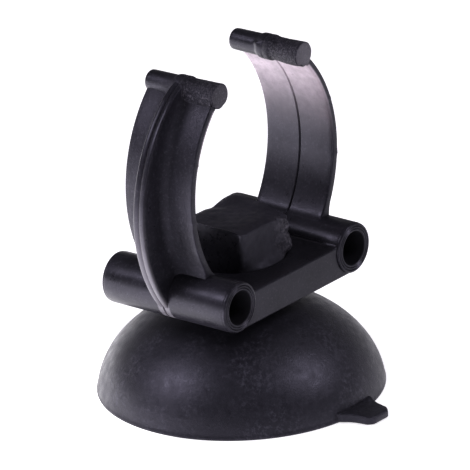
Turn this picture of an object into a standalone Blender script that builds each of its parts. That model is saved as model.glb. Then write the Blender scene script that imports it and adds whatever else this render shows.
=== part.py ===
"""Suction-cup clip that holds a tube-shaped aquarium heater against a tank's glass.

A rubber suction cup carries a plastic clip with two springy C-shaped arms. The origin is on
the cup's axis in the plane of the glass, +Z points away from the glass, the held tube lies
along Y, and the arms stand at -X and +X. Each solid is its own object, named after its part.
A solid that moves has its origin on its joint's axis. All lengths are in metres.
"""
import math

import bmesh
import bpy
from mathutils import Matrix, Vector

MM = 0.001

# Suction cup: driving dimensions
CUP_RADIUS = 20.0 * MM
CUP_HEIGHT = 13.6 * MM
CUP_SINK = 1.0 * MM
RIM_WIDTH = 0.8 * MM
HOLLOW_DEPTH = 8.4 * MM
STEM_RADIUS = 7.0 * MM
STEM_BELLY = 0.55
NECK_RADIUS = 4.7 * MM
NECK_FLARE = 0.6 * MM
NECK_FLARE_LOW = CUP_HEIGHT - 0.4 * MM
NECK_FLARE_HIGH = CUP_HEIGHT + 0.3 * MM

# Pull tab on the rim, at the -Y side
TAB_REACH = 4.4 * MM
TAB_ROOT_WIDTH = 7.0 * MM
TAB_TIP_WIDTH = 4.4 * MM
TAB_THICKNESS = 1.1 * MM
TAB_LIFT = 0.3 * MM
TAB_CORNER = 0.8 * MM
TAB_WAIST_WIDTH = 5.0 * MM
TAB_WAIST_REACH = 1.4 * MM

# Clip: driving dimensions
PLATE_BOTTOM = 14.6 * MM
PLATE_THICKNESS = 4.8 * MM
PLATE_HALF_LENGTH = 10.4 * MM
TUBE_X = 12.7 * MM
TUBE_RADIUS = 3.6 * MM
TUBE_BORE_RADIUS = 2.4 * MM
TUBE_HALF_LENGTH = 10.5 * MM

# Stepped hole in the plate, and the rubber head that fills it
HOLE_RADIUS = 5.0 * MM
SEAT_RADIUS = 6.95 * MM
SEAT_DEPTH = 2.4 * MM
HEAD_FOOT_RADIUS = 6.5 * MM
HEAD_FOOT_CHAMFER = 0.6 * MM
HEAD_FOOT_CHAMFER_HEIGHT = 0.8 * MM
HEAD_SHOULDER = 0.7 * MM
HEAD_HALF_X = 5.9 * MM
HEAD_HALF_Y = 5.5 * MM
HEAD_SQUARENESS = 7.0
HEAD_TOP = 25.3 * MM
HEAD_EDGE = 0.5 * MM
HEAD_SLOPE_X = 4.8 * MM
HEAD_SLOPE_NORMAL = (0.35, -0.12, 1.0)

# Arms: the band's inner face is an arc about BAND_CENTRE, the web's back an arc about
# WEB_CENTRE. Both are (x, z) for the left arm, and the right arm mirrors them.
BAND_CENTRE = (3.47 * MM, 32.3 * MM)
BAND_INNER_RADIUS = 18.6 * MM
BAND_THICKNESS = 1.15 * MM
BAND_HALF_WIDTH = 5.75 * MM
WEB_CENTRE = (0.64 * MM, 30.3 * MM)
WEB_RADIUS = 21.4 * MM
WEB_THICKNESS = 1.9 * MM
ROD_CENTRE = (-9.27 * MM, 46.9 * MM)
ROD_RADIUS = 1.7 * MM
ROD_HALF_LENGTH = 6.05 * MM
WEB_EYE_RADIUS = 2.05 * MM
WEB_TIP_LAP = 5.0

# Where the left arm's arcs end, in degrees about their own centres (0 points along +X)
BAND_FOOT_ANGLE = 219.0
WEB_ROOT_ANGLE = 215.0
WEB_BACK_FOOT_ANGLE = 214.0
WEB_BACK_TIP_ANGLE = 122.5
EYE_BACK_ANGLE = 125.0
EYE_FRONT_ANGLE = -70.0

# Gap between touching solids
GAP = 0.3 * MM

# Fineness of round shapes
ROUND_STEPS = 48
BORE_STEPS = 32
ROD_STEPS = 20
ARC_STEPS = 18
PROFILE_STEPS = 9
EYE_STEPS = 8
PLATE_END_STEPS = 6
SHARP_ANGLE = 35.0

# Points closer than this are one point
MERGE = 1e-7

# Derived heights
PLATE_TOP = PLATE_BOTTOM + PLATE_THICKNESS
TUBE_Z = PLATE_BOTTOM + TUBE_RADIUS
SEAT_FLOOR = PLATE_TOP - SEAT_DEPTH

RUBBER = ("cup_rubber", (0.030, 0.029, 0.034), 0.62)
PLASTIC = ("clip_plastic", (0.038, 0.037, 0.042), 0.40)


def clear_scene():
    for obj in list(bpy.data.objects):
        bpy.data.objects.remove(obj, do_unlink=True)


def make_material(name, colour, roughness):
    """One matt, non-metallic material."""
    material = bpy.data.materials.new(name)
    material.use_nodes = True
    shader = material.node_tree.nodes["Principled BSDF"]
    shader.inputs["Base Color"].default_value = (*colour, 1.0)
    shader.inputs["Roughness"].default_value = roughness
    shader.inputs["Metallic"].default_value = 0.0
    return material


def new_object(name, bm, finish, origin=(0.0, 0.0, 0.0)):
    """Turn a bmesh in world coordinates into an object whose origin is at the given point."""
    bmesh.ops.recalc_face_normals(bm, faces=bm.faces)
    bmesh.ops.transform(bm, matrix=Matrix.Translation(-Vector(origin)), verts=bm.verts)
    mesh = bpy.data.meshes.new(name)
    bm.to_mesh(mesh)
    bm.free()
    obj = bpy.data.objects.new(name, mesh)
    obj.location = origin
    bpy.context.collection.objects.link(obj)
    mesh.materials.append(make_material(name + "_" + finish[0], finish[1], finish[2]))
    mesh.shade_smooth()
    mesh.set_sharp_from_angle(angle=math.radians(SHARP_ANGLE))
    return obj


def cut(obj, cutter):
    """Take one object out of another with an exact Boolean, and hide the cutter."""
    cutter.hide_render = True
    cutter.display_type = "WIRE"
    modifier = obj.modifiers.new(cutter.name, "BOOLEAN")
    modifier.operation = "DIFFERENCE"
    modifier.solver = "EXACT"
    modifier.object = cutter


def join(obj, other):
    """Fuse another object into one with an exact Boolean union, and hide the other."""
    other.hide_render = True
    other.display_type = "WIRE"
    modifier = obj.modifiers.new(other.name, "BOOLEAN")
    modifier.operation = "UNION"
    modifier.solver = "EXACT"
    modifier.object = other


def arc(centre, radius, start, end, steps):
    """Points along an arc, from the start angle to the end angle in degrees."""
    points = []
    for i in range(steps + 1):
        angle = math.radians(start + (end - start) * i / steps)
        points.append((centre[0] + radius * math.cos(angle), centre[1] + radius * math.sin(angle)))
    return points


def dome_axes(radius, height):
    """Half-width and half-height of the ellipse that a dome of this foot radius follows."""
    tall = height + CUP_SINK
    return radius / math.sqrt(1.0 - (CUP_SINK / tall) ** 2), tall


def dome_height(radius, height, r):
    """Height of a dome's surface at r. The ellipse's centre lies CUP_SINK below the foot."""
    wide, tall = dome_axes(radius, height)
    return tall * math.sqrt(1.0 - (r / wide) ** 2) - CUP_SINK


def dome(radius, height, reach, steps):
    """(r, z) points up a dome, from its foot at z = 0 to the height where r = reach."""
    wide, tall = dome_axes(radius, height)
    first = math.asin(CUP_SINK / tall)
    last = math.acos(reach / wide)
    angles = [first + (last - first) * i / steps for i in range(steps + 1)]
    return [(wide * math.cos(angle), tall * math.sin(angle) - CUP_SINK) for angle in angles]


def turned(profile, closed, steps=ROUND_STEPS):
    """Spin (r, z) points round the Z axis. An open profile starts and ends on the axis."""
    bm = bmesh.new()
    verts = [bm.verts.new((r, 0.0, z)) for r, z in profile]
    edges = [bm.edges.new(pair) for pair in zip(verts, verts[1:])]
    if closed:
        edges.append(bm.edges.new((verts[-1], verts[0])))
    bmesh.ops.spin(
        bm,
        geom=verts + edges,
        cent=(0.0, 0.0, 0.0),
        axis=(0.0, 0.0, 1.0),
        angle=math.tau,
        steps=steps,
        use_merge=True,
        use_duplicate=False,
    )
    bmesh.ops.remove_doubles(bm, verts=bm.verts, dist=MERGE)
    return bm


def extruded(outline, start, end, plane):
    """Closed prism on an outline in the XZ or XY plane, from start to end along the third axis."""
    place = {
        "XZ": lambda a, b: (a, start, b),
        "XY": lambda a, b: (a, b, start),
    }[plane]
    shift = {"XZ": (0.0, end - start, 0.0), "XY": (0.0, 0.0, end - start)}[plane]
    bm = bmesh.new()
    face = bm.faces.new([bm.verts.new(place(a, b)) for a, b in outline])
    grown = bmesh.ops.extrude_face_region(bm, geom=[face])["geom"]
    moved = [item for item in grown if isinstance(item, bmesh.types.BMVert)]
    bmesh.ops.translate(bm, vec=shift, verts=moved)
    return bm


def y_cylinder(centre, radius, half_length, steps=BORE_STEPS):
    """Solid cylinder along Y about an (x, z) centre."""
    outline = arc(centre, radius, 0.0, 360.0, steps)[:-1]
    return extruded(outline, -half_length, half_length, "XZ")


def cup_skirt():
    """The thin dome: outside, flat rim ring on the glass, hollow underside, hole for the stem."""
    hole = STEM_RADIUS + GAP
    outside = dome(CUP_RADIUS, CUP_HEIGHT, hole, PROFILE_STEPS)
    inside = dome(CUP_RADIUS - RIM_WIDTH, HOLLOW_DEPTH, hole, PROFILE_STEPS)
    return new_object("cup_skirt", turned(outside + inside[::-1], closed=True), RUBBER)


def cup_stem():
    """The cup's thick middle, with the neck that passes through the clip's hole."""
    ceiling = dome_height(CUP_RADIUS - RIM_WIDTH, HOLLOW_DEPTH, STEM_RADIUS)
    shoulder = dome_height(CUP_RADIUS, CUP_HEIGHT, STEM_RADIUS)
    profile = [
        (0.0, HOLLOW_DEPTH),
        (STEM_BELLY * STEM_RADIUS, HOLLOW_DEPTH - STEM_BELLY**2 * (HOLLOW_DEPTH - ceiling)),
        (STEM_RADIUS, ceiling),
        (STEM_RADIUS, shoulder),
        (NECK_RADIUS + NECK_FLARE, NECK_FLARE_LOW),
        (NECK_RADIUS, NECK_FLARE_HIGH),
        (NECK_RADIUS, SEAT_FLOOR),
        (0.0, SEAT_FLOOR),
    ]
    return new_object("cup_stem", turned(profile, closed=False, steps=BORE_STEPS), RUBBER)


def squared_radius(angle):
    """Distance from the axis to the head's squarish outline above the plate, at an angle."""
    across = abs(math.cos(angle) / HEAD_HALF_X) ** HEAD_SQUARENESS
    along = abs(math.sin(angle) / HEAD_HALF_Y) ** HEAD_SQUARENESS
    return (across + along) ** (-1.0 / HEAD_SQUARENESS)


def retaining_head():
    """The rubber lump on the neck: a round foot in the seat, and a square block above the plate."""
    foot = SEAT_FLOOR + GAP
    shoulder = PLATE_TOP + HEAD_SHOULDER
    profile = [
        (0.0, foot),
        (HEAD_FOOT_RADIUS - HEAD_FOOT_CHAMFER, foot),
        (HEAD_FOOT_RADIUS, foot + HEAD_FOOT_CHAMFER_HEIGHT),
        (HEAD_FOOT_RADIUS, PLATE_TOP),
        (HEAD_FOOT_RADIUS, shoulder),
        (HEAD_FOOT_RADIUS, HEAD_TOP - HEAD_EDGE),
        (HEAD_FOOT_RADIUS - HEAD_EDGE, HEAD_TOP - 0.2 * HEAD_EDGE),
        (0.0, HEAD_TOP),
    ]
    bm = turned(profile, closed=False)
    for vert in bm.verts:
        if vert.co.z > 0.5 * (PLATE_TOP + shoulder):
            square = squared_radius(math.atan2(vert.co.y, vert.co.x)) / HEAD_FOOT_RADIUS
            vert.co.x *= square
            vert.co.y *= square
    bmesh.ops.bisect_plane(
        bm,
        geom=bm.verts[:] + bm.edges[:] + bm.faces[:],
        dist=MERGE,
        plane_co=(HEAD_SLOPE_X, 0.0, HEAD_TOP - HEAD_EDGE),
        plane_no=Vector(HEAD_SLOPE_NORMAL).normalized(),
        clear_outer=True,
    )
    bmesh.ops.holes_fill(bm, edges=[edge for edge in bm.edges if edge.is_boundary], sides=0)
    return new_object("retaining_head", bm, RUBBER)


def pull_tab():
    """The tab on the rim, narrowing to a tip with cut corners. It bends about its upper root."""
    root = -(CUP_RADIUS + GAP)
    tip = -(CUP_RADIUS + TAB_REACH)
    half = [
        (0.5 * TAB_ROOT_WIDTH, root),
        (0.5 * TAB_WAIST_WIDTH, root - TAB_WAIST_REACH),
        (0.5 * TAB_TIP_WIDTH, tip + TAB_CORNER),
        (0.5 * TAB_TIP_WIDTH - TAB_CORNER, tip),
    ]
    outline = half + [(-x, y) for x, y in reversed(half)]
    bm = extruded(outline, TAB_LIFT, TAB_LIFT + TAB_THICKNESS, "XY")
    return new_object("pull_tab", bm, RUBBER, origin=(0.0, root, TAB_LIFT + TAB_THICKNESS))


def base_plate():
    """Flat plate between the tubes, hollowed at its ends round them, with the stepped hole."""
    clear = TUBE_RADIUS + GAP
    drop_low = math.degrees(math.asin((TUBE_Z - PLATE_BOTTOM) / clear))
    drop_high = math.degrees(math.asin((PLATE_TOP - TUBE_Z) / clear))
    right = arc((TUBE_X, TUBE_Z), clear, 180.0 + drop_low, 180.0 - drop_high, PLATE_END_STEPS)
    left = [(-x, z) for x, z in reversed(right)]
    plate = new_object(
        "base_plate",
        extruded(right + left, -PLATE_HALF_LENGTH, PLATE_HALF_LENGTH, "XZ"),
        PLASTIC,
    )
    hole_profile = [
        (0.0, PLATE_BOTTOM - MM),
        (HOLE_RADIUS, PLATE_BOTTOM - MM),
        (HOLE_RADIUS, SEAT_FLOOR),
        (SEAT_RADIUS, SEAT_FLOOR),
        (SEAT_RADIUS, PLATE_TOP + MM),
        (0.0, PLATE_TOP + MM),
    ]
    cut(plate, new_object("plate_hole", turned(hole_profile, closed=False), PLASTIC))
    return plate


def tube(name, side):
    """Open tube along Y at one end of the plate."""
    outside = arc((side * TUBE_X, TUBE_Z), TUBE_RADIUS, 0.0, 360.0, BORE_STEPS)[:-1]
    body = new_object(name, extruded(outside, -TUBE_HALF_LENGTH, TUBE_HALF_LENGTH, "XZ"), PLASTIC)
    bore = y_cylinder((side * TUBE_X, TUBE_Z), TUBE_BORE_RADIUS, TUBE_HALF_LENGTH + MM)
    cut(body, new_object(name + "_bore", bore, PLASTIC))
    return body


def angle_to(centre, point):
    """Angle in degrees, 0 to 360, of a point seen from a centre."""
    return math.degrees(math.atan2(point[1] - centre[1], point[0] - centre[0])) % 360.0


def band_outline():
    """The left arm's band: a strip on an arc from inside the tip rod down to the tube."""
    top = angle_to(BAND_CENTRE, ROD_CENTRE)
    inner = arc(BAND_CENTRE, BAND_INNER_RADIUS, top, BAND_FOOT_ANGLE, ARC_STEPS)
    outer = arc(BAND_CENTRE, BAND_INNER_RADIUS + BAND_THICKNESS, BAND_FOOT_ANGLE, top, ARC_STEPS)
    return inner + outer


def web_outline():
    """The left arm's web: from the band out to the web's back, closing in an eye on the rod."""
    middle = BAND_INNER_RADIUS + 0.5 * BAND_THICKNESS
    top = angle_to(BAND_CENTRE, ROD_CENTRE)
    along_band = arc(BAND_CENTRE, middle, top + WEB_TIP_LAP, WEB_ROOT_ANGLE, ARC_STEPS)
    back = arc(WEB_CENTRE, WEB_RADIUS, WEB_BACK_FOOT_ANGLE, WEB_BACK_TIP_ANGLE, ARC_STEPS)
    eye = arc(ROD_CENTRE, WEB_EYE_RADIUS, EYE_BACK_ANGLE, EYE_FRONT_ANGLE, EYE_STEPS)
    foot = [(-TUBE_X, TUBE_Z)]
    return along_band + foot + back + eye


def arm(name, side):
    """One C-shaped arm: band, web and tip rod fused, cut clear of the tube it springs from."""
    origin = (side * TUBE_X, 0.0, TUBE_Z)

    def mirrored(outline):
        return [(-side * x, z) for x, z in outline]

    band = extruded(mirrored(band_outline()), -BAND_HALF_WIDTH, BAND_HALF_WIDTH, "XZ")
    web = extruded(mirrored(web_outline()), -0.5 * WEB_THICKNESS, 0.5 * WEB_THICKNESS, "XZ")
    rod = y_cylinder((-side * ROD_CENTRE[0], ROD_CENTRE[1]), ROD_RADIUS, ROD_HALF_LENGTH, ROD_STEPS)
    clearance = y_cylinder((side * TUBE_X, TUBE_Z), TUBE_RADIUS + GAP, TUBE_HALF_LENGTH)
    body = new_object(name, band, PLASTIC, origin=origin)
    join(body, new_object(name + "_web", web, PLASTIC))
    join(body, new_object(name + "_rod", rod, PLASTIC))
    cut(body, new_object(name + "_clearance", clearance, PLASTIC))
    return body


def build():
    clear_scene()
    cup_skirt()
    cup_stem()
    retaining_head()
    pull_tab()
    base_plate()
    for side, word in ((-1.0, "left"), (1.0, "right")):
        tube(word + "_tube", side)
        arm(word + "_arm", side)


build()
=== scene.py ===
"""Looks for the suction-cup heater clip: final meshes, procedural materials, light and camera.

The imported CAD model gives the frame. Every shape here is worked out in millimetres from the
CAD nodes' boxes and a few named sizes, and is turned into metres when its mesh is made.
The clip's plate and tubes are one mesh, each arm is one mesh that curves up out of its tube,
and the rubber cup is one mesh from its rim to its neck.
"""
import math

import bmesh
import bpy
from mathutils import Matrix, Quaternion, Vector, noise


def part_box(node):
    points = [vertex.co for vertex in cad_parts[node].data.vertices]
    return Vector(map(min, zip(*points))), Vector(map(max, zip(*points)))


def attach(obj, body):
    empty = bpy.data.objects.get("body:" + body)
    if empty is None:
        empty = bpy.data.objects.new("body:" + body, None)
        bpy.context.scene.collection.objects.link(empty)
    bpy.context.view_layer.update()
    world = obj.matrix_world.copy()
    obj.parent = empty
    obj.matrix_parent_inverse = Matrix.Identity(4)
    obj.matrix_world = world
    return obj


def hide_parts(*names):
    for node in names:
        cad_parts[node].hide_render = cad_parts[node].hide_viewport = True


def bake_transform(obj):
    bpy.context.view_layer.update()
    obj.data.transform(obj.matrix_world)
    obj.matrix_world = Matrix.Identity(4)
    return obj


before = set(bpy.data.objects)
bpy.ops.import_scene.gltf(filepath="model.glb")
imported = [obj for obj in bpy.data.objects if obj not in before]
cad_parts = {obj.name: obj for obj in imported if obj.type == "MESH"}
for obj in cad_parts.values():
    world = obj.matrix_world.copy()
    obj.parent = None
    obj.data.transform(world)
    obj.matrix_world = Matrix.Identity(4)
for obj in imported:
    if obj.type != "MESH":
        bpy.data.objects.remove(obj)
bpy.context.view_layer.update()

MM = 0.001


def node_box(name):
    """A CAD node's lowest and highest corner, in millimetres."""
    low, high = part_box(name)
    return low / MM, high / MM


# Sizes taken from the frame, in millimetres
STEM_LOW, STEM_HIGH = node_box("cup_stem")
TAB_LOW, TAB_HIGH = node_box("pull_tab")
PLATE_LOW, PLATE_HIGH = node_box("base_plate")
TUBE_LOW, TUBE_HIGH = node_box("right_tube")

CUP_RADIUS = node_box("cup_skirt")[1].x
HEAD_TOP = node_box("retaining_head")[1].z
TUBE_X = 0.5 * (TUBE_LOW.x + TUBE_HIGH.x)
TUBE_Z = 0.5 * (TUBE_LOW.z + TUBE_HIGH.z)
TUBE_RADIUS = 0.5 * (TUBE_HIGH.z - TUBE_LOW.z)
TUBE_HALF_LENGTH = TUBE_HIGH.y
PLATE_HALF_LENGTH = PLATE_HIGH.y
PLATE_TOP = PLATE_HIGH.z
PLATE_BOTTOM = PLATE_LOW.z
ROD_HALF_LENGTH = node_box("right_arm")[1].y

# The cup: its dome is an ellipse whose centre lies CUP_SINK under the rim
CUP_HEIGHT = 13.6
CUP_SINK = 1.0
RIM_WIDTH = 0.8
RIM_LIP = 0.35
HOLLOW_DEPTH = STEM_LOW.z + 0.6
NECK_RADIUS = 4.7
NECK_TOP = STEM_HIGH.z + 0.8

# The head: a round foot in the clip's seat, and a squarish block above the plate
HEAD_FOOT_RADIUS = 6.85
HEAD_FRONT, HEAD_BACK = 5.55, 5.3
HEAD_LEFT, HEAD_RIGHT = 5.45, 6.1
HEAD_SQUARENESS = 9.0
KNIFE_FACE = 5.45

# The clip
SEAT_FLOOR = STEM_HIGH.z
HOLE_RADIUS = 5.0
SEAT_RADIUS = 6.95
BORE_RADIUS = 2.36
BORE_DRAFT = 0.10
COLLAR_PROUD = 0.18
COLLAR_ROUND = 0.26
COLLAR_GROOVES = (3.10, 2.76)
GROOVE_DEPTH = 0.12
END_ROUND = 0.28
PARTING_HALF_WIDTH = 0.17
PARTING_DEPTH = 0.24

# An arm, for the +X side: band centre, web centre and tip rod as (x, z)
BAND_CENTRE = (-3.47, 32.3)
BAND_INNER_RADIUS = 18.6
BAND_THICKNESS = 1.15
BAND_HALF_WIDTH = 5.75
BAND_EDGE_ROUND = 0.24
WEB_CENTRE = (-0.64, 30.3)
WEB_RADIUS = 21.4
WEB_HALF_THICKNESS = 0.92
WEB_FILLET = 1.00
FOOT_FILLET = 1.40
WEB_EDGE_ROUND = 0.20
ARM_FOOT_ANGLE = -37.5
ARM_STEPS = 110
ROD_CENTRE = (9.27, 46.9)
ROD_RADIUS_FRONT = 1.80
ROD_RADIUS_BACK = 1.56
EYE_RADIUS = 1.80

# The materials: colours are linear, and a tone goes from its dark to its pale one
REST_PLACE = "place_at_rest"
SHEEN_TINT = (0.84, 0.81, 1.0, 1.0)
PLASTIC_DARK, PLASTIC_PALE = (0.0085, 0.0080, 0.0110), (0.0150, 0.0140, 0.0195)
PLASTIC_DUST = (0.045, 0.042, 0.054)
# Painted reflection: pale colour on the arms' inner faces near the tips
PLASTIC_INNER_REFLECTION = (0.60, 0.52, 0.58)
# Painted reflection: pale colour low on each web's back
PLASTIC_WEB_REFLECTION = (0.150, 0.142, 0.160)
PLASTIC_TRIMMED = (0.098, 0.091, 0.108)
PLASTIC_CUT = (0.135, 0.128, 0.145)
# Painted shade: near-black colour inside the tubes' bores
PLASTIC_BORE_SHADE = (0.0040, 0.0038, 0.0050)
RUBBER_DARK, RUBBER_PALE = (0.0120, 0.0115, 0.0155), (0.0195, 0.0185, 0.0250)
RUBBER_BLOOM = (0.070, 0.067, 0.086)
RUBBER_CREASE = (0.075, 0.071, 0.090)
CUT_DARK, CUT_PALE = (0.0105, 0.0100, 0.0135), (0.0190, 0.0180, 0.0240)
CUT_CHALK = (0.048, 0.046, 0.060)
CUT_FRINGE = (0.110, 0.104, 0.120)
# Heights in millimetres where the painted reflection on the arms' inner faces fades in
INNER_REFLECTION_START, INNER_REFLECTION_END = 31.0, 42.5
# Heights in millimetres where the painted reflection on the webs' backs fades out
WEB_REFLECTION_START, WEB_REFLECTION_END = 22.0, 34.0

# The view and the studio; lengths here are in metres
CAMERA_AZIMUTH, CAMERA_ELEVATION, CAMERA_ROLL = -51.0, 22.0, 2.5
CAMERA_DISTANCE, FRAME_WIDTH = 1.30, 0.0645
CAMERA_AIM = (0.0, 0.0, 0.0222)
SENSOR_WIDTH_MM = 36.0
FLOOR_HALF_SIZE, FLOOR_DROP = 3.0, 0.00002
FLOOR_GLOW_FRONT, FLOOR_GLOW_BACK = 0.68, 4.0
FLOOR_GLOW_START, FLOOR_GLOW_END = 0.012, 0.036
HORIZON_GLOW, ZENITH_GLOW = 0.75, 0.21
HORIZON_TOP, ZENITH_BOTTOM = 0.02, 0.34
LIGHT_DISTANCE, LIGHT_SIZE = 0.45, 0.15
LIGHT_AIM = (0.0, 0.0, 0.02)
LIGHTS = (
    # Name, degrees round from the camera, degrees above the floor, watts
    ("soft_left", -75.0, 44.0, 0.85),
    ("soft_right", 78.0, 46.0, 0.70),
)


# ---------------------------------------------------------------- mesh making


def new_object(name, points, faces):
    """Object from points in millimetres, with its faces turned outwards."""
    mesh = bpy.data.meshes.new(name)
    mesh.from_pydata([Vector(point) * MM for point in points], [], faces)
    bm = bmesh.new()
    bm.from_mesh(mesh)
    bmesh.ops.recalc_face_normals(bm, faces=bm.faces)
    bm.to_mesh(mesh)
    bm.free()
    obj = bpy.data.objects.new(name, mesh)
    bpy.context.scene.collection.objects.link(obj)
    return obj


def loft(name, rings):
    """Closed skin over rings of equally many points, with a flat cap at each end."""
    count = len(rings[0])
    points = [point for ring in rings for point in ring]
    faces = []
    for k in range(len(rings) - 1):
        for i in range(count):
            j = (i + 1) % count
            faces.append((k * count + i, k * count + j, (k + 1) * count + j, (k + 1) * count + i))
    last = (len(rings) - 1) * count
    faces.append(tuple(range(count))[::-1])
    faces.append(tuple(range(last, last + count)))
    return new_object(name, points, faces)


def lathe(name, profile, steps, place):
    """Spin (radius, height) points. The profile starts and ends on the axis.

    place(a, b, height) puts a point whose offsets across the axis are a and b.
    """
    points = [place(0.0, 0.0, profile[0][1])]
    for radius, height in profile[1:-1]:
        for i in range(steps):
            angle = math.tau * i / steps
            points.append(place(radius * math.cos(angle), radius * math.sin(angle), height))
    points.append(place(0.0, 0.0, profile[-1][1]))
    rows = len(profile) - 2
    faces = []
    for i in range(steps):
        j = (i + 1) % steps
        faces.append((0, 1 + i, 1 + j))
        for k in range(rows - 1):
            low, high = 1 + k * steps, 1 + (k + 1) * steps
            faces.append((low + i, high + i, high + j, low + j))
        low = 1 + (rows - 1) * steps
        faces.append((low + i, len(points) - 1, low + j))
    return new_object(name, points, faces)


def along_z(a, b, height):
    """Placing function for a lathe whose axis is Z."""
    return (a, b, height)


def along_y(centre):
    """Placing function for a lathe whose axis is along Y through (x, z)."""
    return lambda a, b, height: (centre[0] + a, height, centre[1] + b)


def bake_modifiers(obj):
    """Replace an object's mesh with the one its modifiers give."""
    graph = bpy.context.evaluated_depsgraph_get()
    mesh = bpy.data.meshes.new_from_object(obj.evaluated_get(graph))
    obj.modifiers.clear()
    old = obj.data
    obj.data = mesh
    bpy.data.meshes.remove(old)


def combine(obj, other, operation):
    """Exact Boolean of two closed meshes. The other one is used up."""
    modifier = obj.modifiers.new(other.name, "BOOLEAN")
    modifier.operation = operation
    modifier.solver = "EXACT"
    modifier.object = other
    bake_modifiers(obj)
    bpy.data.objects.remove(other, do_unlink=True)


def smooth(obj, angle=32.0):
    """Smooth shading, apart from edges sharper than the angle."""
    obj.data.shade_smooth()
    obj.data.set_sharp_from_angle(angle=math.radians(angle))


def arc(centre, radius, start, end, steps):
    """Points along an arc, from the start angle to the end angle in degrees."""
    angles = [math.radians(start + (end - start) * i / steps) for i in range(steps + 1)]
    return [(centre[0] + radius * math.cos(a), centre[1] + radius * math.sin(a)) for a in angles]


def line(start, end, steps):
    """Points from start to end, without the end point."""
    return [tuple(s + (e - s) * i / steps for s, e in zip(start, end)) for i in range(steps)]


def bump_at(value, centre, width, height):
    """A smooth single bump."""
    return height * math.exp(-(((value - centre) / width) ** 2))


def clamp(value):
    return min(1.0, max(0.0, value))


def wander(point, size, seed):
    """Noise between -1 and 1 that changes over the given size in millimetres."""
    return noise.noise(Vector(point) / size + Vector((seed, 0.37 * seed, 1.7 * seed)))


# ---------------------------------------------------------------- rubber cup


def dome(radius, height, first, last, steps):
    """(r, z) points up a dome between two radii."""
    tall = height + CUP_SINK
    wide = radius / math.sqrt(1.0 - (CUP_SINK / tall) ** 2)
    start, end = math.acos(first / wide), math.acos(last / wide)
    angles = [start + (end - start) * i / steps for i in range(steps + 1)]
    return [(wide * math.cos(a), tall * math.sin(a) - CUP_SINK) for a in angles]


def make_cup():
    """Skirt, thick middle and neck as one rubber moulding, hollow underneath."""
    inner_radius = CUP_RADIUS - RIM_WIDTH
    inside = dome(inner_radius, HOLLOW_DEPTH, 0.4, inner_radius, 30)
    rim = [
        (inner_radius + 0.12, 0.0),
        (CUP_RADIUS - 0.12, 0.0),
        (CUP_RADIUS - 0.03, 0.05),
        (CUP_RADIUS, 0.14),
        (CUP_RADIUS, RIM_LIP),
        (CUP_RADIUS - 0.04, RIM_LIP + 0.07),
    ]
    outside = [p for p in dome(CUP_RADIUS, CUP_HEIGHT, CUP_RADIUS, 6.0, 44) if p[1] > RIM_LIP + 0.25]
    neck_foot = outside[-1][1]
    fillet = [
        (5.5, neck_foot + 0.10),
        (5.1, neck_foot + 0.26),
        (4.8, neck_foot + 0.55),
        (NECK_RADIUS, neck_foot + 0.95),
    ]
    neck = [(NECK_RADIUS, SEAT_FLOOR - 0.4), (NECK_RADIUS, NECK_TOP), (0.0, NECK_TOP)]
    profile = [(0.0, HOLLOW_DEPTH)] + inside + rim + outside + fillet + neck
    cup = lathe("rubber_cup", profile, 192, along_z)
    flat_rim = 0.5
    for vertex in cup.data.vertices:
        place = vertex.co / MM
        if place.z > flat_rim:
            out = Vector((place.x, place.y, 0.35 * place.z)).normalized()
            swell = 0.05 * wander(place, 9.0, 3.0) + 0.018 * wander(place, 2.6, 8.0)
            vertex.co += out * swell * min(1.0, place.z - flat_rim) * MM
    smooth(cup, 40.0)
    return cup


def press_flat(obj, point, normal, softness, lowest, rise=1.2):
    """Push what lies beyond a plane back onto it, leaving soft edges.

    It starts at the lowest height and is complete once the given rise above it.
    """
    n = Vector(normal).normalized()
    p = Vector(point)
    for vertex in obj.data.vertices:
        place = vertex.co / MM
        over = softness * math.log1p(math.exp(min(40.0, (place - p).dot(n) / softness)))
        vertex.co -= n * over * clamp((place.z - lowest) / rise) * MM


def head_reach(angle, height):
    """Distance from the axis to the head's side, at an angle round it and a height."""
    across, along = math.cos(angle), math.sin(angle)
    wide = HEAD_RIGHT if across > 0.0 else HEAD_LEFT
    deep = HEAD_BACK if along > 0.0 else HEAD_FRONT
    n = HEAD_SQUARENESS
    square = (abs(across / wide) ** n + abs(along / deep) ** n) ** (-1.0 / n)
    rise = clamp((height - PLATE_TOP - 0.15) / 3.0)
    return HEAD_FOOT_RADIUS + (square - HEAD_FOOT_RADIUS) * (1.0 - (1.0 - rise) ** 3)


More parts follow.
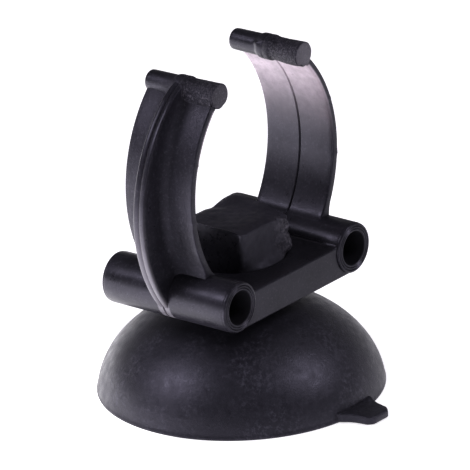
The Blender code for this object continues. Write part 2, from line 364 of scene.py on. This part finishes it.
def make_head():
    """The rough-cut rubber lump that keeps the clip on the cup.

    A lathed block is squared, cut flat by a few knife planes and roughened. Its -X side is one
    clean cut from the foot up, and the corner at +X, -Y is torn.
    """
    foot, top = SEAT_FLOOR + 0.05, HEAD_TOP + 0.5
    reach = HEAD_FOOT_RADIUS
    profile = (
        [(0.0, foot)]
        + line((0.5, foot), (reach - 0.6, foot), 10)
        + arc((reach - 0.6, foot + 0.7), 0.6, -75.0, -15.0, 3)
        + line((reach, foot + 0.7), (reach, top - 0.3), 44)
        + arc((reach - 0.3, top - 0.3), 0.3, 0.0, 85.0, 4)
        + line((reach - 0.5, top), (0.3, top), 30)
        + [(0.0, top)]
    )
    head = lathe("rubber_head", profile, 200, along_z)
    for vertex in head.data.vertices:
        place = vertex.co / MM
        share = head_reach(math.atan2(place.y, place.x), place.z) / HEAD_FOOT_RADIUS
        vertex.co.x *= share
        vertex.co.y *= share
    cuts = [
        # point on the knife's plane, its direction, softness of the edge it leaves
        ((6.15, 0.0, 22.0), (1.0, 0.0, 0.08), 0.22),
        ((5.35, -5.05, 24.1), (0.45, -0.50, 0.75), 0.12),
        ((-4.60, 5.00, 22.0), (-0.70, 0.70, 0.05), 0.30),
        ((0.0, 0.0, 25.25), (0.02, 0.0, 1.0), 0.10),
        ((4.6, -3.0, 24.75), (0.22, -0.30, 1.0), 0.15),
        ((-1.0, -4.9, 25.05), (0.0, -0.50, 1.0), 0.20),
        ((0.2, 5.0, 24.95), (-0.03, 0.50, 1.0), 0.16),
    ]
    press_flat(head, (-KNIFE_FACE, 0.0, 22.0), (-1.0, -0.03, -0.03), 0.10, foot)
    press_flat(head, (0.0, -5.50, 22.0), (0.06, -1.0, 0.05), 0.12, PLATE_TOP + 0.1, 2.4)
    for point, normal, softness in cuts:
        press_flat(head, point, normal, softness, PLATE_TOP)
    lumps = [
        # centre, spread, height
        ((4.9, 3.6, 25.0), 1.5, 0.55),
        ((1.6, 4.2, 24.8), 1.2, -0.30),
        ((-3.4, 3.9, 24.8), 2.2, 0.15),
        ((4.9, -5.2, 20.0), 1.3, 0.45),
        ((4.6, -5.6, 22.6), 1.2, 0.16),
        ((1.0, -1.0, 25.2), 2.4, -0.12),
    ]
    for vertex in head.data.vertices:
        place = vertex.co / MM
        out = Vector((place.x, place.y, 1.6 * (place.z - 21.5))).normalized()
        rough = 0.13 * wander(place, 3.6, 5.0) + 0.06 * wander(place, 1.3, 9.0)
        rough += 0.012 * wander(place, 0.5, 2.0)
        for centre, spread, height in lumps:
            rough += height * math.exp(-((place - Vector(centre)).length / spread) ** 2)
        rough *= min(1.0, max(0.04, (place.x + KNIFE_FACE - 0.10) / 0.8))
        torn = clamp((place.x - 1.0) / 2.5) * clamp((-place.y - 3.0) / 1.5)
        rough += torn * (0.50 * wander(place, 1.45, 15.0) + 0.20 * wander(place, 0.60, 14.0))
        vertex.co += out * rough * clamp(place.z - PLATE_TOP + 0.6) * MM
    smooth(head, 50.0)
    return head


def make_tab():
    """The pull tab, from inside the rim out to its cut-cornered tip."""
    tip, root = TAB_LOW.y, TAB_HIGH.y
    edge_round, corner_steps, side_steps = 0.22, 4, 6
    stations = [
        # distance from root outwards, half width, underside, upper side
        (-1.6, 3.9, 0.10, 1.30),
        (-0.6, 3.7, 0.10, 1.42),
        (0.0, 3.35, 0.09, 1.42),
        (0.4, 3.05, 0.08, 1.40),
        (0.9, 2.78, 0.07, 1.37),
        (1.5, 2.55, 0.06, 1.33),
        (2.2, 2.42, 0.06, 1.30),
        (2.9, 2.32, 0.06, 1.27),
        (3.2, 2.25, 0.06, 1.26),
        (3.55, 1.98, 0.07, 1.25),
        (3.85, 1.70, 0.10, 1.22),
        (4.02, 1.52, 0.18, 1.14),
        (root - tip, 1.36, 0.34, 0.98),
    ]
    rings = []
    for out, half, low, high in stations:
        r = min(edge_round, 0.45 * (high - low))
        corners = [
            ((half - r, high - r), 0.0),
            ((-half + r, high - r), 90.0),
            ((-half + r, low + r), 180.0),
            ((half - r, low + r), 270.0),
        ]
        ring = []
        for (centre, angle), (following, _) in zip(corners, corners[1:] + corners[:1]):
            corner = arc(centre, r, angle, angle + 90.0, corner_steps)
            turn = math.radians(angle + 90.0)
            end = (following[0] + r * math.cos(turn), following[1] + r * math.sin(turn))
            ring += corner[:-1] + line(corner[-1], end, side_steps)
        rings.append([(x, root - out, z) for x, z in ring])
    tab = loft("rubber_tab", rings)
    smooth(tab, 45.0)
    return tab


# ---------------------------------------------------------------- plastic clip


def inset(outline, depth):
    """A closed outline moved inwards by a small depth."""
    count = len(outline)
    area = sum(
        outline[i][0] * outline[(i + 1) % count][1] - outline[(i + 1) % count][0] * outline[i][1]
        for i in range(count)
    )
    sign = 1.0 if area > 0.0 else -1.0
    moved = []
    for i in range(count):
        before, here, after = outline[i - 1], outline[i], outline[(i + 1) % count]
        a = Vector((here[0] - before[0], here[1] - before[1])).normalized()
        b = Vector((after[0] - here[0], after[1] - here[1])).normalized()
        way = (a + b).normalized()
        step = sign * depth / max(0.5, way.dot(a))
        moved.append((here[0] - way.y * step, here[1] + way.x * step))
    return moved


def base_outline():
    """Outline of plate and tubes together, seen along Y."""
    rise = math.degrees(math.asin((PLATE_TOP - TUBE_Z) / TUBE_RADIUS))
    reach = TUBE_X - TUBE_RADIUS * math.cos(math.radians(rise))
    left = arc((-TUBE_X, TUBE_Z), TUBE_RADIUS, 270.0, rise + 5.0, 52)
    right = [(-x, z) for x, z in reversed(left)]
    corner = 0.32
    top = [
        (-reach - 0.02, PLATE_TOP + corner),
        (-reach + 0.10, PLATE_TOP + 0.12),
        (-reach + corner, PLATE_TOP + 0.01),
    ]
    across = line((-reach + 2.0 * corner, PLATE_TOP), (reach - 2.0 * corner, PLATE_TOP), 12)
    mirrored = [(-x, z) for x, z in reversed(top)]
    bottom = line((TUBE_X, PLATE_BOTTOM), (-TUBE_X, PLATE_BOTTOM), 14)[1:]
    return left + top + across + [(reach - 2.0 * corner, PLATE_TOP)] + mirrored + right + bottom


def base_stations():
    """(y, inset) along the base: rounded ends and the mould's parting groove at y = 0."""
    half = sorted(arc((END_ROUND - PLATE_HALF_LENGTH, END_ROUND), END_ROUND, 270.0, 180.0, 4))
    half += [(y, 0.0) for y in (-8.0, -5.5, -3.0, -1.2, -0.5, -PARTING_HALF_WIDTH)]
    half.append((-0.4 * PARTING_HALF_WIDTH, PARTING_DEPTH))
    return half + [(-y, depth) for y, depth in reversed(half)]


def make_base():
    """Plate and tubes as one moulding, with collars and bores at the tubes and the stepped hole."""
    outline = base_outline()
    rings = [[(x, y, z) for x, z in inset(outline, depth)] for y, depth in base_stations()]
    base = loft("clip_base", rings)
    end = TUBE_HALF_LENGTH + COLLAR_PROUD
    start = TUBE_HALF_LENGTH - 2.0
    past = 0.6
    collar = [(0.0, start), (TUBE_RADIUS - 0.05, start)]
    collar += arc((TUBE_RADIUS - 0.05 - COLLAR_ROUND, end - COLLAR_ROUND), COLLAR_ROUND, 0.0, 80.0, 6)
    cut = GROOVE_DEPTH
    for groove in COLLAR_GROOVES:
        collar += [(groove + cut, end), (groove, end - cut), (groove - cut, end)]
    collar.append((0.0, end))
    bore = [
        (0.0, -end - past),
        (BORE_RADIUS + 0.75, -end - past),
        (BORE_RADIUS + 0.14, -end + 0.01),
        (BORE_RADIUS + 0.04, -end + 0.10),
        (BORE_RADIUS, -end + 0.30),
        (BORE_RADIUS - BORE_DRAFT, -0.06),
    ]
    bore += [(radius, -y) for radius, y in reversed(bore)]
    for side in (-1.0, 1.0):
        place = along_y((side * TUBE_X, TUBE_Z))
        for way in (-1.0, 1.0):
            turned = [(radius, way * y) for radius, y in collar]
            combine(base, lathe("collar", turned, 96, place), "UNION")
        combine(base, lathe("bore", bore, 96, place), "DIFFERENCE")
    hole = [
        (0.0, PLATE_BOTTOM - 1.0),
        (HOLE_RADIUS, PLATE_BOTTOM - 1.0),
        (HOLE_RADIUS, SEAT_FLOOR),
        (SEAT_RADIUS, SEAT_FLOOR),
        (SEAT_RADIUS, PLATE_TOP - 0.20),
        (SEAT_RADIUS + 0.06, PLATE_TOP - 0.08),
        (SEAT_RADIUS + 0.20, PLATE_TOP + 0.01),
        (SEAT_RADIUS + 0.30, PLATE_TOP + 1.0),
        (0.0, PLATE_TOP + 1.0),
    ]
    combine(base, lathe("hole", hole, 128, along_z), "DIFFERENCE")
    smooth(base)
    return base


def arm_section(depth, flare, foot_fillet):
    """Half of an arm's T-shaped section as (n, y), n outwards from the band's inner face.

    It runs from the parting groove of the inner face, round the band's edge and up the web,
    to the parting groove of the web's back. flare thickens the band's inner side where it
    meets the tube, and foot_fillet its outer side.
    """
    w, t, r = BAND_HALF_WIDTH, BAND_THICKNESS + foot_fillet, BAND_EDGE_ROUND
    g, web, e = PARTING_HALF_WIDTH, WEB_HALF_THICKNESS, WEB_EDGE_ROUND
    f = min(WEB_FILLET, max(0.15, 0.75 * (depth - t - 0.45)))
    points = [(PARTING_DEPTH - flare, 0.0), (-flare, g)]
    points += line((-flare, 0.5), (-flare, w - r), 8)
    points += arc((r - flare, w - r), r, 180.0, 90.0, 4)
    points += arc((t - r, w - r), r, 90.0, 0.0, 4)
    points += line((t, w - 1.0), (t, web + f + 0.1), 6)
    points += arc((t + f, web + f), f, 180.0, 270.0, 10)
    points += line((t + f + 0.05, web), (depth - e, web - 0.05), 5)
    points += arc((depth - e, web - 0.05 - e), e, 90.0, 0.0, 4)
    points += [(depth + 0.02, 0.6 * web), (depth, 0.28), (depth - 0.05, 0.14), (depth - 0.15, 0.0)]
    return points


def web_depth(angle):
    """Distance from the band's inner face to the web's back, in a direction from BAND_CENTRE."""
    way = Vector((math.cos(angle), math.sin(angle)))
    offset = Vector(WEB_CENTRE) - Vector(BAND_CENTRE)
    along = offset.dot(way)
    return along + math.sqrt(along**2 - offset.length_squared + WEB_RADIUS**2) - BAND_INNER_RADIUS


def make_rod(side):
    """The rod across an arm's tip. Its front part is thick and rough, its back part slim.

    Between them is the web's eye. Small extras are a nub behind the eye and a scar at the front.
    """
    front, back, eye = ROD_RADIUS_FRONT, ROD_RADIUS_BACK, EYE_RADIUS
    end = ROD_HALF_LENGTH
    profile = [(0.0, -end), (0.6, -end), (front - 0.34, -end), (front - 0.14, -end + 0.07)]
    profile += line((front, -end + 0.24), (front - 0.16, -1.35), 36)
    profile += [(front - 0.13, -1.2), (eye - 0.07, -1.0), (eye - 0.01, -0.85), (eye, -0.6)]
    profile += [(eye, -0.2), (eye - 0.06, 0.0), (eye, 0.2), (eye, 0.7), (eye - 0.03, 0.95)]
    profile += [(eye - 0.10, 1.15), (back + 0.06, 1.32), (back + 0.02, 1.45)]
    profile += line((back, 1.62), (back - 0.06, end - 0.34), 16)
    profile += arc((back - 0.42, end - 0.34), 0.34, 0.0, 85.0, 5) + [(0.0, end)]
    rod = lathe("rod", profile, 72, along_y((side * ROD_CENTRE[0], ROD_CENTRE[1])))
    for vertex in rod.data.vertices:
        place = vertex.co / MM
        out = Vector((place.x - side * ROD_CENTRE[0], 0.0, place.z - ROD_CENTRE[1]))
        if out.length < 0.9:
            continue
        turn = math.degrees(math.atan2(out.z, -side * out.x))
        waves = 0.05 * wander(place, 1.6, 4.0) + 0.030 * wander(place, 0.5, 6.0 + side)
        rough = clamp(0.6 - place.y) * waves
        nub = math.exp(-((place.y - 1.25) / 0.30) ** 2 - ((turn - 26.0) / 9.0) ** 2)
        scar = math.exp(-((place.y + end) / 0.7) ** 2 - ((turn + 62.0) / 16.0) ** 2)
        rough += 0.10 * nub - (0.34 if side > 0.0 else 0.10) * scar
        vertex.co += out.normalized() * rough * MM
    return rod


def make_ledge(side, start, end, top, bottom):
    """Small sloped ledge under the rod, between two places along it.

    top and bottom are its edges, as (outwards, downwards) from the band's inner arc at the rod.
    """
    out = (Vector(ROD_CENTRE) - Vector(BAND_CENTRE)).normalized()
    down = Vector((out.y, -out.x))
    foot = Vector(BAND_CENTRE) + out * BAND_INNER_RADIUS
    inside = (0.5 * BAND_THICKNESS, 0.5 * (top[1] + bottom[1]))
    corners = [foot + out * a + down * b for a, b in (top, bottom, inside)]
    rings = [[(side * corner.x, y, corner.y) for corner in corners] for y in (start, end)]
    return loft("ledge", rings)


def make_arm(name, side):
    """One C-shaped arm: band, web, and the rod across its tip."""
    top = math.atan2(ROD_CENTRE[1] - BAND_CENTRE[1], ROD_CENTRE[0] - BAND_CENTRE[0])
    foot = math.radians(ARM_FOOT_ANGLE)
    tube_top = TUBE_Z + TUBE_RADIUS
    rings = []
    for k in range(ARM_STEPS + 1):
        angle = top + (foot - top) * k / ARM_STEPS
        height = BAND_CENTRE[1] + BAND_INNER_RADIUS * math.sin(angle)
        flare = 0.35 * max(0.0, 1.0 - max(0.0, height - tube_top + 0.45) / 1.1) ** 2
        degrees = math.degrees(angle)
        tip = max(0.0, 1.0 - math.degrees(top - angle) / 9.0)
        depth = web_depth(angle) + bump_at(degrees, 3.0, 0.9, 0.16) * (side > 0.0) - 0.42 * tip**1.5
        near_tube = max(0.0, 1.0 - max(0.0, height - tube_top + 0.2) / 2.6)
        half = arm_section(depth, flare, FOOT_FILLET * near_tube**2)
        nick = bump_at(degrees, -6.0, 1.2, 0.10) + bump_at(degrees, 19.0, 0.8, 0.07)
        ring = []
        for n, y in half + [(n, -y) for n, y in reversed(half[1:-1])]:
            reach = BAND_INNER_RADIUS + n
            if abs(y) > BAND_HALF_WIDTH - 0.1:
                y += math.copysign(nick, y) * (y < 0.0)
            if y < 0.0 and n < 0.5:
                reach += 0.05
            x = BAND_CENTRE[0] + reach * math.cos(angle)
            ring.append((side * x, y, BAND_CENTRE[1] + reach * math.sin(angle)))
        rings.append(ring)
    arm = loft(name, rings)
    combine(arm, make_rod(side), "UNION")
    combine(arm, make_ledge(side, 1.1, 5.75, (1.66, 0.85), (1.12, 1.42)), "UNION")
    combine(arm, make_ledge(side, -5.6, -0.9, (2.05, 1.15), (1.10, 2.10)), "UNION")
    smooth(arm)
    return arm


# ---------------------------------------------------------------- materials


class Nodes:
    """Short names for building a material's nodes. Patterns follow each point's place at rest."""

    def __init__(self, name):
        self.material = bpy.data.materials.new(name)
        self.material.use_nodes = True
        self.tree = self.material.node_tree
        self.shader = self.tree.nodes["Principled BSDF"]
        rest = self.tree.nodes.new("ShaderNodeAttribute")
        rest.attribute_name = REST_PLACE
        self.place = rest.outputs["Vector"]

    def link(self, output, socket):
        self.tree.links.new(output, socket)

    def stretch(self, scale):
        """The place, scaled along each axis."""
        node = self.tree.nodes.new("ShaderNodeMapping")
        node.inputs["Scale"].default_value = scale
        self.link(self.place, node.inputs["Vector"])
        return node.outputs["Vector"]

    def noise(self, size, detail=3.0, roughness=0.55, vector=None):
        """Noise that changes over the given size in millimetres."""
        node = self.tree.nodes.new("ShaderNodeTexNoise")
        node.inputs["Scale"].default_value = 1.0 / (size * MM)
        node.inputs["Detail"].default_value = detail
        node.inputs["Roughness"].default_value = roughness
        self.link(vector or self.place, node.inputs["Vector"])
        return node.outputs["Fac"]

    def axes(self, vector=None):
        """The X, Y and Z of a place."""
        node = self.tree.nodes.new("ShaderNodeSeparateXYZ")
        self.link(vector or self.place, node.inputs["Vector"])
        return node.outputs["X"], node.outputs["Y"], node.outputs["Z"]

    def ramp(self, value, low, high, out_low, out_high):
        """From one number to another as the value goes from low to high."""
        node = self.tree.nodes.new("ShaderNodeMapRange")
        node.inputs["From Min"].default_value = low
        node.inputs["From Max"].default_value = high
        node.inputs["To Min"].default_value = out_low
        node.inputs["To Max"].default_value = out_high
        self.link(value, node.inputs["Value"])
        return node.outputs["Result"]

    def rise(self, length, low, high):
        """From 0 to 1 as a length goes from low to high, in millimetres."""
        return self.ramp(length, low * MM, high * MM, 0.0, 1.0)

    def fall(self, length, low, high):
        """From 1 to 0 as a length goes from low to high, in millimetres."""
        return self.ramp(length, low * MM, high * MM, 1.0, 0.0)

    def calculate(self, operation, *values):
        """A Math node on numbers or other outputs."""
        node = self.tree.nodes.new("ShaderNodeMath")
        node.operation = operation
        for socket, value in zip(node.inputs, values):
            if isinstance(value, float):
                socket.default_value = value
            else:
                self.link(value, socket)
        return node.outputs["Value"]

    def times(self, *shares):
        """All the shares multiplied together."""
        product = shares[0]
        for share in shares[1:]:
            product = self.calculate("MULTIPLY", product, share)
        return product

    def plus(self, a, b):
        return self.calculate("ADD", a, b)

    def size(self, value):
        """The value without its sign."""
        return self.calculate("ABSOLUTE", value)

    def from_axis(self, centre):
        """Distance from an axis along Y through (x, z), with both sides mirrored to +X."""
        x, _, z = self.axes()
        gather = self.tree.nodes.new("ShaderNodeCombineXYZ")
        self.link(self.size(x), gather.inputs["X"])
        self.link(z, gather.inputs["Z"])
        away = self.tree.nodes.new("ShaderNodeVectorMath")
        away.operation = "DISTANCE"
        away.inputs[1].default_value = (centre[0] * MM, 0.0, centre[1] * MM)
        self.link(gather.outputs["Vector"], away.inputs[0])
        return away.outputs["Value"]

    def ridges(self, size, width):
        """1 along thin wandering lines and 0 elsewhere."""
        middle = self.calculate("SUBTRACT", self.noise(size, detail=2.0, roughness=0.5), 0.5)
        return self.ramp(self.size(middle), 0.0, width, 1.0, 0.0)

    def mix(self, share, first, second):
        """Colour between two, each a colour or another output."""
        node = self.tree.nodes.new("ShaderNodeMix")
        node.data_type = "RGBA"
        self.link(share, node.inputs[0])
        for socket, colour in ((node.inputs[6], first), (node.inputs[7], second)):
            if isinstance(colour, tuple):
                socket.default_value = (*colour, 1.0)
            else:
                self.link(colour, socket)
        return node.outputs[2]

    def bump(self, height, distance, strength, below=None):
        """A normal from a height, of the given distance in millimetres, over one below it."""
        node = self.tree.nodes.new("ShaderNodeBump")
        node.inputs["Distance"].default_value = distance * MM
        node.inputs["Strength"].default_value = strength
        self.link(height, node.inputs["Height"])
        if below is not None:
            self.link(below, node.inputs["Normal"])
        return node.outputs["Normal"]

    def coat(self, colour, roughness, normal, ior=1.50):
        """Link the surface's colour, roughness and normal, and give it the shared sheen."""
        self.link(colour, self.shader.inputs["Base Color"])
        self.link(roughness, self.shader.inputs["Roughness"])
        self.link(normal, self.shader.inputs["Normal"])
        self.shader.inputs["IOR"].default_value = ior
        self.shader.inputs["Specular Tint"].default_value = SHEEN_TINT
        return self.material


def plastic_material():
    """Satin black moulded plastic with a fine mould grain, flow marks and fine pale dust.

    The rods' front halves are speckled, as if trimmed, and end in a pale cut. The arms' outer
    sides have a coarser grain and rougher corners. A painted reflection lies pale on their inner
    faces towards the tips and on the low part of each web's back, and painted shade darkens the
    bores.
    """
    n = Nodes("moulded_black_plastic")
    x, length, height = n.axes()
    across = n.size(length)
    from_band, from_rod = n.from_axis(BAND_CENTRE), n.from_axis(ROD_CENTRE)
    from_web, from_bore = n.from_axis(WEB_CENTRE), n.from_axis((TUBE_X, TUBE_Z))
    middle = BAND_INNER_RADIUS + 0.5 * BAND_THICKNESS

    # Where each kind of surface is, as shares from 0 to 1
    inner = n.fall(from_band, middle - 0.3, middle)
    raised = n.rise(height, 22.0, 25.0)
    outer = n.times(
        raised,
        n.rise(from_band, middle + 0.35, middle + 0.45),
        n.fall(from_band, middle + 1.5, middle + 2.4),
    )
    side = n.times(
        n.rise(from_band, middle + 0.3, middle + 0.5), n.rise(height, TUBE_Z + 2.0, TUBE_Z + 4.2)
    )
    corner = n.times(side, n.fall(across, 1.4, 3.4), n.fall(from_band, middle + 1.2, middle + 2.4))
    foot = n.times(side, n.fall(height, TUBE_Z + 3.6, TUBE_Z + 8.0))
    rod = n.fall(from_rod, 1.95, 2.10)
    trimmed = n.times(rod, n.fall(length, -0.8, 0.6))
    cut_end = n.times(rod, n.fall(length, -5.98, -5.90), n.ramp(x, -1.0 * MM, 1.0 * MM, 0.40, 1.0))
    # Painted reflection low on each web's back, where it faces the bright floor
    web_reflection_share = n.times(
        n.rise(from_web, WEB_RADIUS - 0.60, WEB_RADIUS - 0.10),
        n.fall(across, 0.9, 1.1),
        n.fall(height, WEB_REFLECTION_START, WEB_REFLECTION_END),
    )
    bore = n.fall(from_bore, BORE_RADIUS + 0.02, BORE_RADIUS + 0.14)

    cloud = n.noise(5.0, detail=5.0)
    tone = n.mix(n.ramp(cloud, 0.35, 0.68, 0.0, 1.0), PLASTIC_DARK, PLASTIC_PALE)
    dust = n.ramp(n.noise(0.40, detail=3.0, roughness=0.7), 0.52, 0.76, 0.0, 0.75)
    tone = n.mix(dust, tone, PLASTIC_DUST)
    # Painted reflection: pale on the arms' inner faces, rising towards the tips, broken up by noise
    inner_reflection_share = n.times(inner, n.rise(height, INNER_REFLECTION_START, INNER_REFLECTION_END), n.rise(from_rod, 1.95, 2.4))
    reflection_breakup = n.ramp(n.noise(2.0, detail=6.0, roughness=0.7), 0.30, 0.75, 0.55, 1.0)
    tone = n.mix(n.times(inner_reflection_share, reflection_breakup, inner_reflection_share), tone, PLASTIC_INNER_REFLECTION)
    tone = n.mix(n.times(web_reflection_share, n.ramp(cloud, 0.2, 0.8, 0.6, 1.0)), tone, PLASTIC_WEB_REFLECTION)
    speck = n.ramp(n.noise(0.30, detail=3.0, roughness=0.75), 0.50, 0.68, 0.0, 0.7)
    tone = n.mix(n.times(trimmed, speck), tone, PLASTIC_TRIMMED)
    tone = n.mix(n.times(cut_end, n.ramp(cloud, 0.2, 0.8, 0.3, 0.9)), tone, PLASTIC_CUT)
    # Painted shade: the bores are darkened
    tone = n.mix(bore, tone, PLASTIC_BORE_SHADE)

    flow = n.noise(2.2, detail=5.0, roughness=0.65, vector=n.stretch((1.0, 0.25, 1.0)))
    mottle = n.noise(0.9, detail=4.0, roughness=0.7)
    rough = n.plus(n.ramp(flow, 0.30, 0.72, 0.23, 0.34), n.ramp(mottle, 0.35, 0.65, 0.0, 0.10))
    for mask, more in ((trimmed, 0.18), (outer, 0.05), (corner, 0.35), (foot, 0.30), (bore, 0.50)):
        rough = n.plus(rough, n.ramp(mask, 0.0, 1.0, 0.0, more))

    grain = n.bump(n.noise(0.20, detail=4.0, roughness=0.65), 0.018, 0.45)
    sparked = n.bump(n.times(outer, n.noise(0.30, detail=3.0, roughness=0.7)), 0.055, 0.8, grain)
    torn = n.bump(n.times(trimmed, n.noise(0.32, detail=3.0, roughness=0.7)), 0.20, 1.0, sparked)
    uneven = n.bump(n.noise(3.5, detail=2.0), 0.10, 0.22, torn)
    n.shader.inputs["Specular IOR Level"].default_value = 0.31
    return n.coat(tone, rough, uneven)


def rubber_material():
    """Matt black rubber with fine pits, a thin pale bloom in soft patches and faint creases."""
    n = Nodes("matt_black_rubber")
    cloud = n.noise(7.0, detail=4.0)
    tone = n.mix(n.ramp(cloud, 0.30, 0.70, 0.0, 1.0), RUBBER_DARK, RUBBER_PALE)
    speck = n.ramp(n.noise(0.60, detail=5.0, roughness=0.75), 0.48, 0.70, 0.0, 1.0)
    patch = n.ramp(n.noise(5.5, detail=3.0), 0.42, 0.66, 0.12, 0.95)
    tone = n.mix(n.times(speck, patch), tone, RUBBER_BLOOM)
    crease = n.times(n.ridges(3.2, 0.022), n.ramp(n.noise(6.0, detail=2.0), 0.46, 0.62, 0.0, 0.22))
    tone = n.mix(crease, tone, RUBBER_CREASE)
    rough = n.ramp(n.noise(1.2, detail=5.0), 0.3, 0.7, 0.33, 0.49)
    pits = n.bump(n.noise(0.35, detail=4.0, roughness=0.7), 0.06, 0.55)
    uneven = n.bump(n.noise(2.4, detail=3.0), 0.12, 0.25, pits)
    return n.coat(tone, rough, uneven)


def cut_rubber_material():
    """The head's rubber: smooth on the knife's face, elsewhere rough with fine drag marks.

    The torn corner has a pale chalky fringe.
    """
    n = Nodes("cut_black_rubber")
    x, y, _ = n.axes()
    tone = n.mix(n.ramp(n.noise(3.0, detail=5.0), 0.30, 0.70, 0.0, 1.0), CUT_DARK, CUT_PALE)
    chalk = n.noise(0.45, detail=5.0, roughness=0.7)
    tone = n.mix(n.ramp(chalk, 0.55, 0.80, 0.0, 0.8), tone, CUT_CHALK)
    fringe = n.times(n.rise(x, 1.2, 5.0), n.fall(y, -5.0, -4.2), n.ramp(chalk, 0.44, 0.62, 0.0, 1.0))
    tone = n.mix(fringe, tone, CUT_FRINGE)
    torn = n.ramp(x, (0.15 - KNIFE_FACE) * MM, (0.55 - KNIFE_FACE) * MM, 0.06, 1.0)
    rough = n.ramp(n.noise(0.9, detail=4.0), 0.3, 0.7, 0.20, 0.42)
    rough = n.plus(rough, n.ramp(torn, 0.0, 1.0, 0.0, 0.30))
    marks = n.noise(0.5, detail=4.0, vector=n.stretch((1.0, 1.0, 0.22)))
    drag = n.bump(n.times(torn, marks), 0.10, 0.45)
    lumps = n.bump(n.times(torn, n.noise(1.6, detail=4.0)), 0.20, 0.35, drag)
    return n.coat(tone, rough, lumps, ior=1.48)


# ---------------------------------------------------------------- surroundings


def make_floor():
    """Large pale floor that glows, more so behind the part, as an overexposed white sweep does."""
    half, z = FLOOR_HALF_SIZE / MM, -FLOOR_DROP / MM
    corners = [(-half, -half, z), (half, -half, z), (half, half, z), (-half, half, z)]
    floor = new_object("floor", corners, [(0, 1, 2, 3)])
    n = Nodes("pale_floor")
    turned = n.tree.nodes.new("ShaderNodeMapping")
    turned.inputs["Rotation"].default_value = (0.0, 0.0, math.radians(CAMERA_AZIMUTH))
    n.link(n.tree.nodes.new("ShaderNodeTexCoord").outputs["Object"], turned.inputs["Vector"])
    _, back, _ = n.axes(turned.outputs["Vector"])
    glow = n.ramp(back, FLOOR_GLOW_START, FLOOR_GLOW_END, FLOOR_GLOW_FRONT, FLOOR_GLOW_BACK)
    n.link(glow, n.shader.inputs["Emission Strength"])
    n.shader.inputs["Emission Color"].default_value = (1.0, 0.985, 1.0, 1.0)
    n.shader.inputs["Base Color"].default_value = (0.86, 0.86, 0.87, 1.0)
    n.shader.inputs["Roughness"].default_value = 0.8
    floor.data.materials.append(n.material)


def make_world():
    """Studio surround: white along the horizon and dark overhead."""
    world = bpy.data.worlds.new("studio")
    bpy.context.scene.world = world
    world.use_nodes = True
    tree = world.node_tree
    background = tree.nodes["Background"]
    place = tree.nodes.new("ShaderNodeTexCoord")
    split = tree.nodes.new("ShaderNodeSeparateXYZ")
    ramp = tree.nodes.new("ShaderNodeMapRange")
    ramp.interpolation_type = "SMOOTHSTEP"
    ramp.inputs["From Min"].default_value = HORIZON_TOP
    ramp.inputs["From Max"].default_value = ZENITH_BOTTOM
    ramp.inputs["To Min"].default_value = HORIZON_GLOW
    ramp.inputs["To Max"].default_value = ZENITH_GLOW
    tree.links.new(place.outputs["Generated"], split.inputs["Vector"])
    tree.links.new(split.outputs["Z"], ramp.inputs["Value"])
    tree.links.new(ramp.outputs["Result"], background.inputs["Strength"])
    background.inputs["Color"].default_value = (0.96, 0.94, 1.0, 1.0)


def look_at(obj, target):
    """Turn a light or camera so that it faces a place."""
    obj.rotation_mode = "QUATERNION"
    obj.rotation_quaternion = (Vector(target) - obj.location).to_track_quat("-Z", "Y")


def direction(azimuth, elevation):
    """Unit vector from the object towards a viewpoint, with azimuth 0 on the -Y side."""
    a, e = math.radians(azimuth), math.radians(elevation)
    return Vector((math.sin(a) * math.cos(e), -math.cos(a) * math.cos(e), math.sin(e)))


def make_light(name, azimuth, elevation, watts):
    """Square soft light, cool as daylight."""
    data = bpy.data.lights.new(name, "AREA")
    data.shape = "SQUARE"
    data.size = LIGHT_SIZE
    data.energy = watts
    data.color = (0.95, 0.92, 1.0)
    light = bpy.data.objects.new(name, data)
    bpy.context.scene.collection.objects.link(light)
    light.location = direction(azimuth, elevation) * LIGHT_DISTANCE
    look_at(light, LIGHT_AIM)


def make_camera():
    """Long lens from the front left, a little above, rolled as the photograph is."""
    data = bpy.data.cameras.new("camera")
    data.sensor_width = SENSOR_WIDTH_MM
    data.lens = SENSOR_WIDTH_MM * CAMERA_DISTANCE / FRAME_WIDTH
    data.clip_start, data.clip_end = 0.1, 20.0
    camera = bpy.data.objects.new("camera", data)
    bpy.context.scene.collection.objects.link(camera)
    away = direction(CAMERA_AZIMUTH, CAMERA_ELEVATION) * CAMERA_DISTANCE
    camera.location = Vector(CAMERA_AIM) + away
    look_at(camera, CAMERA_AIM)
    roll = Quaternion((0.0, 0.0, 1.0), math.radians(-CAMERA_ROLL))
    camera.rotation_quaternion = camera.rotation_quaternion @ roll
    bpy.context.scene.camera = camera


# ---------------------------------------------------------------- assembly


def dress(obj, material):
    """Give a finished piece its material, and keep each point's place at rest.

    The materials read that place, so their patterns stay on a piece that bends or turns.
    """
    obj.data.materials.clear()
    obj.data.materials.append(material)
    rest = obj.data.attributes.new(REST_PLACE, "FLOAT_VECTOR", "POINT")
    rest.data.foreach_set("vector", [value for vertex in obj.data.vertices for value in vertex.co])


def assemble():
    """Make the six pieces, dress them, hide the CAD parts each one stands for and put it in place."""
    plastic, rubber, cut = plastic_material(), rubber_material(), cut_rubber_material()

    cup = make_cup()
    dress(cup, rubber)
    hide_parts("cup_skirt", "cup_stem")
    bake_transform(cup)

    head = make_head()
    dress(head, cut)
    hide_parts("retaining_head")
    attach(head, "cup_core")

    tab = make_tab()
    dress(tab, rubber)
    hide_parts("pull_tab")
    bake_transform(tab)

    base = make_base()
    dress(base, plastic)
    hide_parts("base_plate", "left_tube", "right_tube")
    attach(base, "clip")

    for side, word in ((-1.0, "left"), (1.0, "right")):
        arm = make_arm(word + "_arm_moulding", side)
        dress(arm, plastic)
        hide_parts(word + "_arm")
        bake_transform(arm)


assemble()
make_floor()
make_world()
for name, turn, elevation, watts in LIGHTS:
    make_light(name, CAMERA_AZIMUTH + turn, elevation, watts)
make_camera()
bpy.context.scene.view_settings.view_transform = "Standard"
bpy.context.scene.view_settings.gamma = 0.85
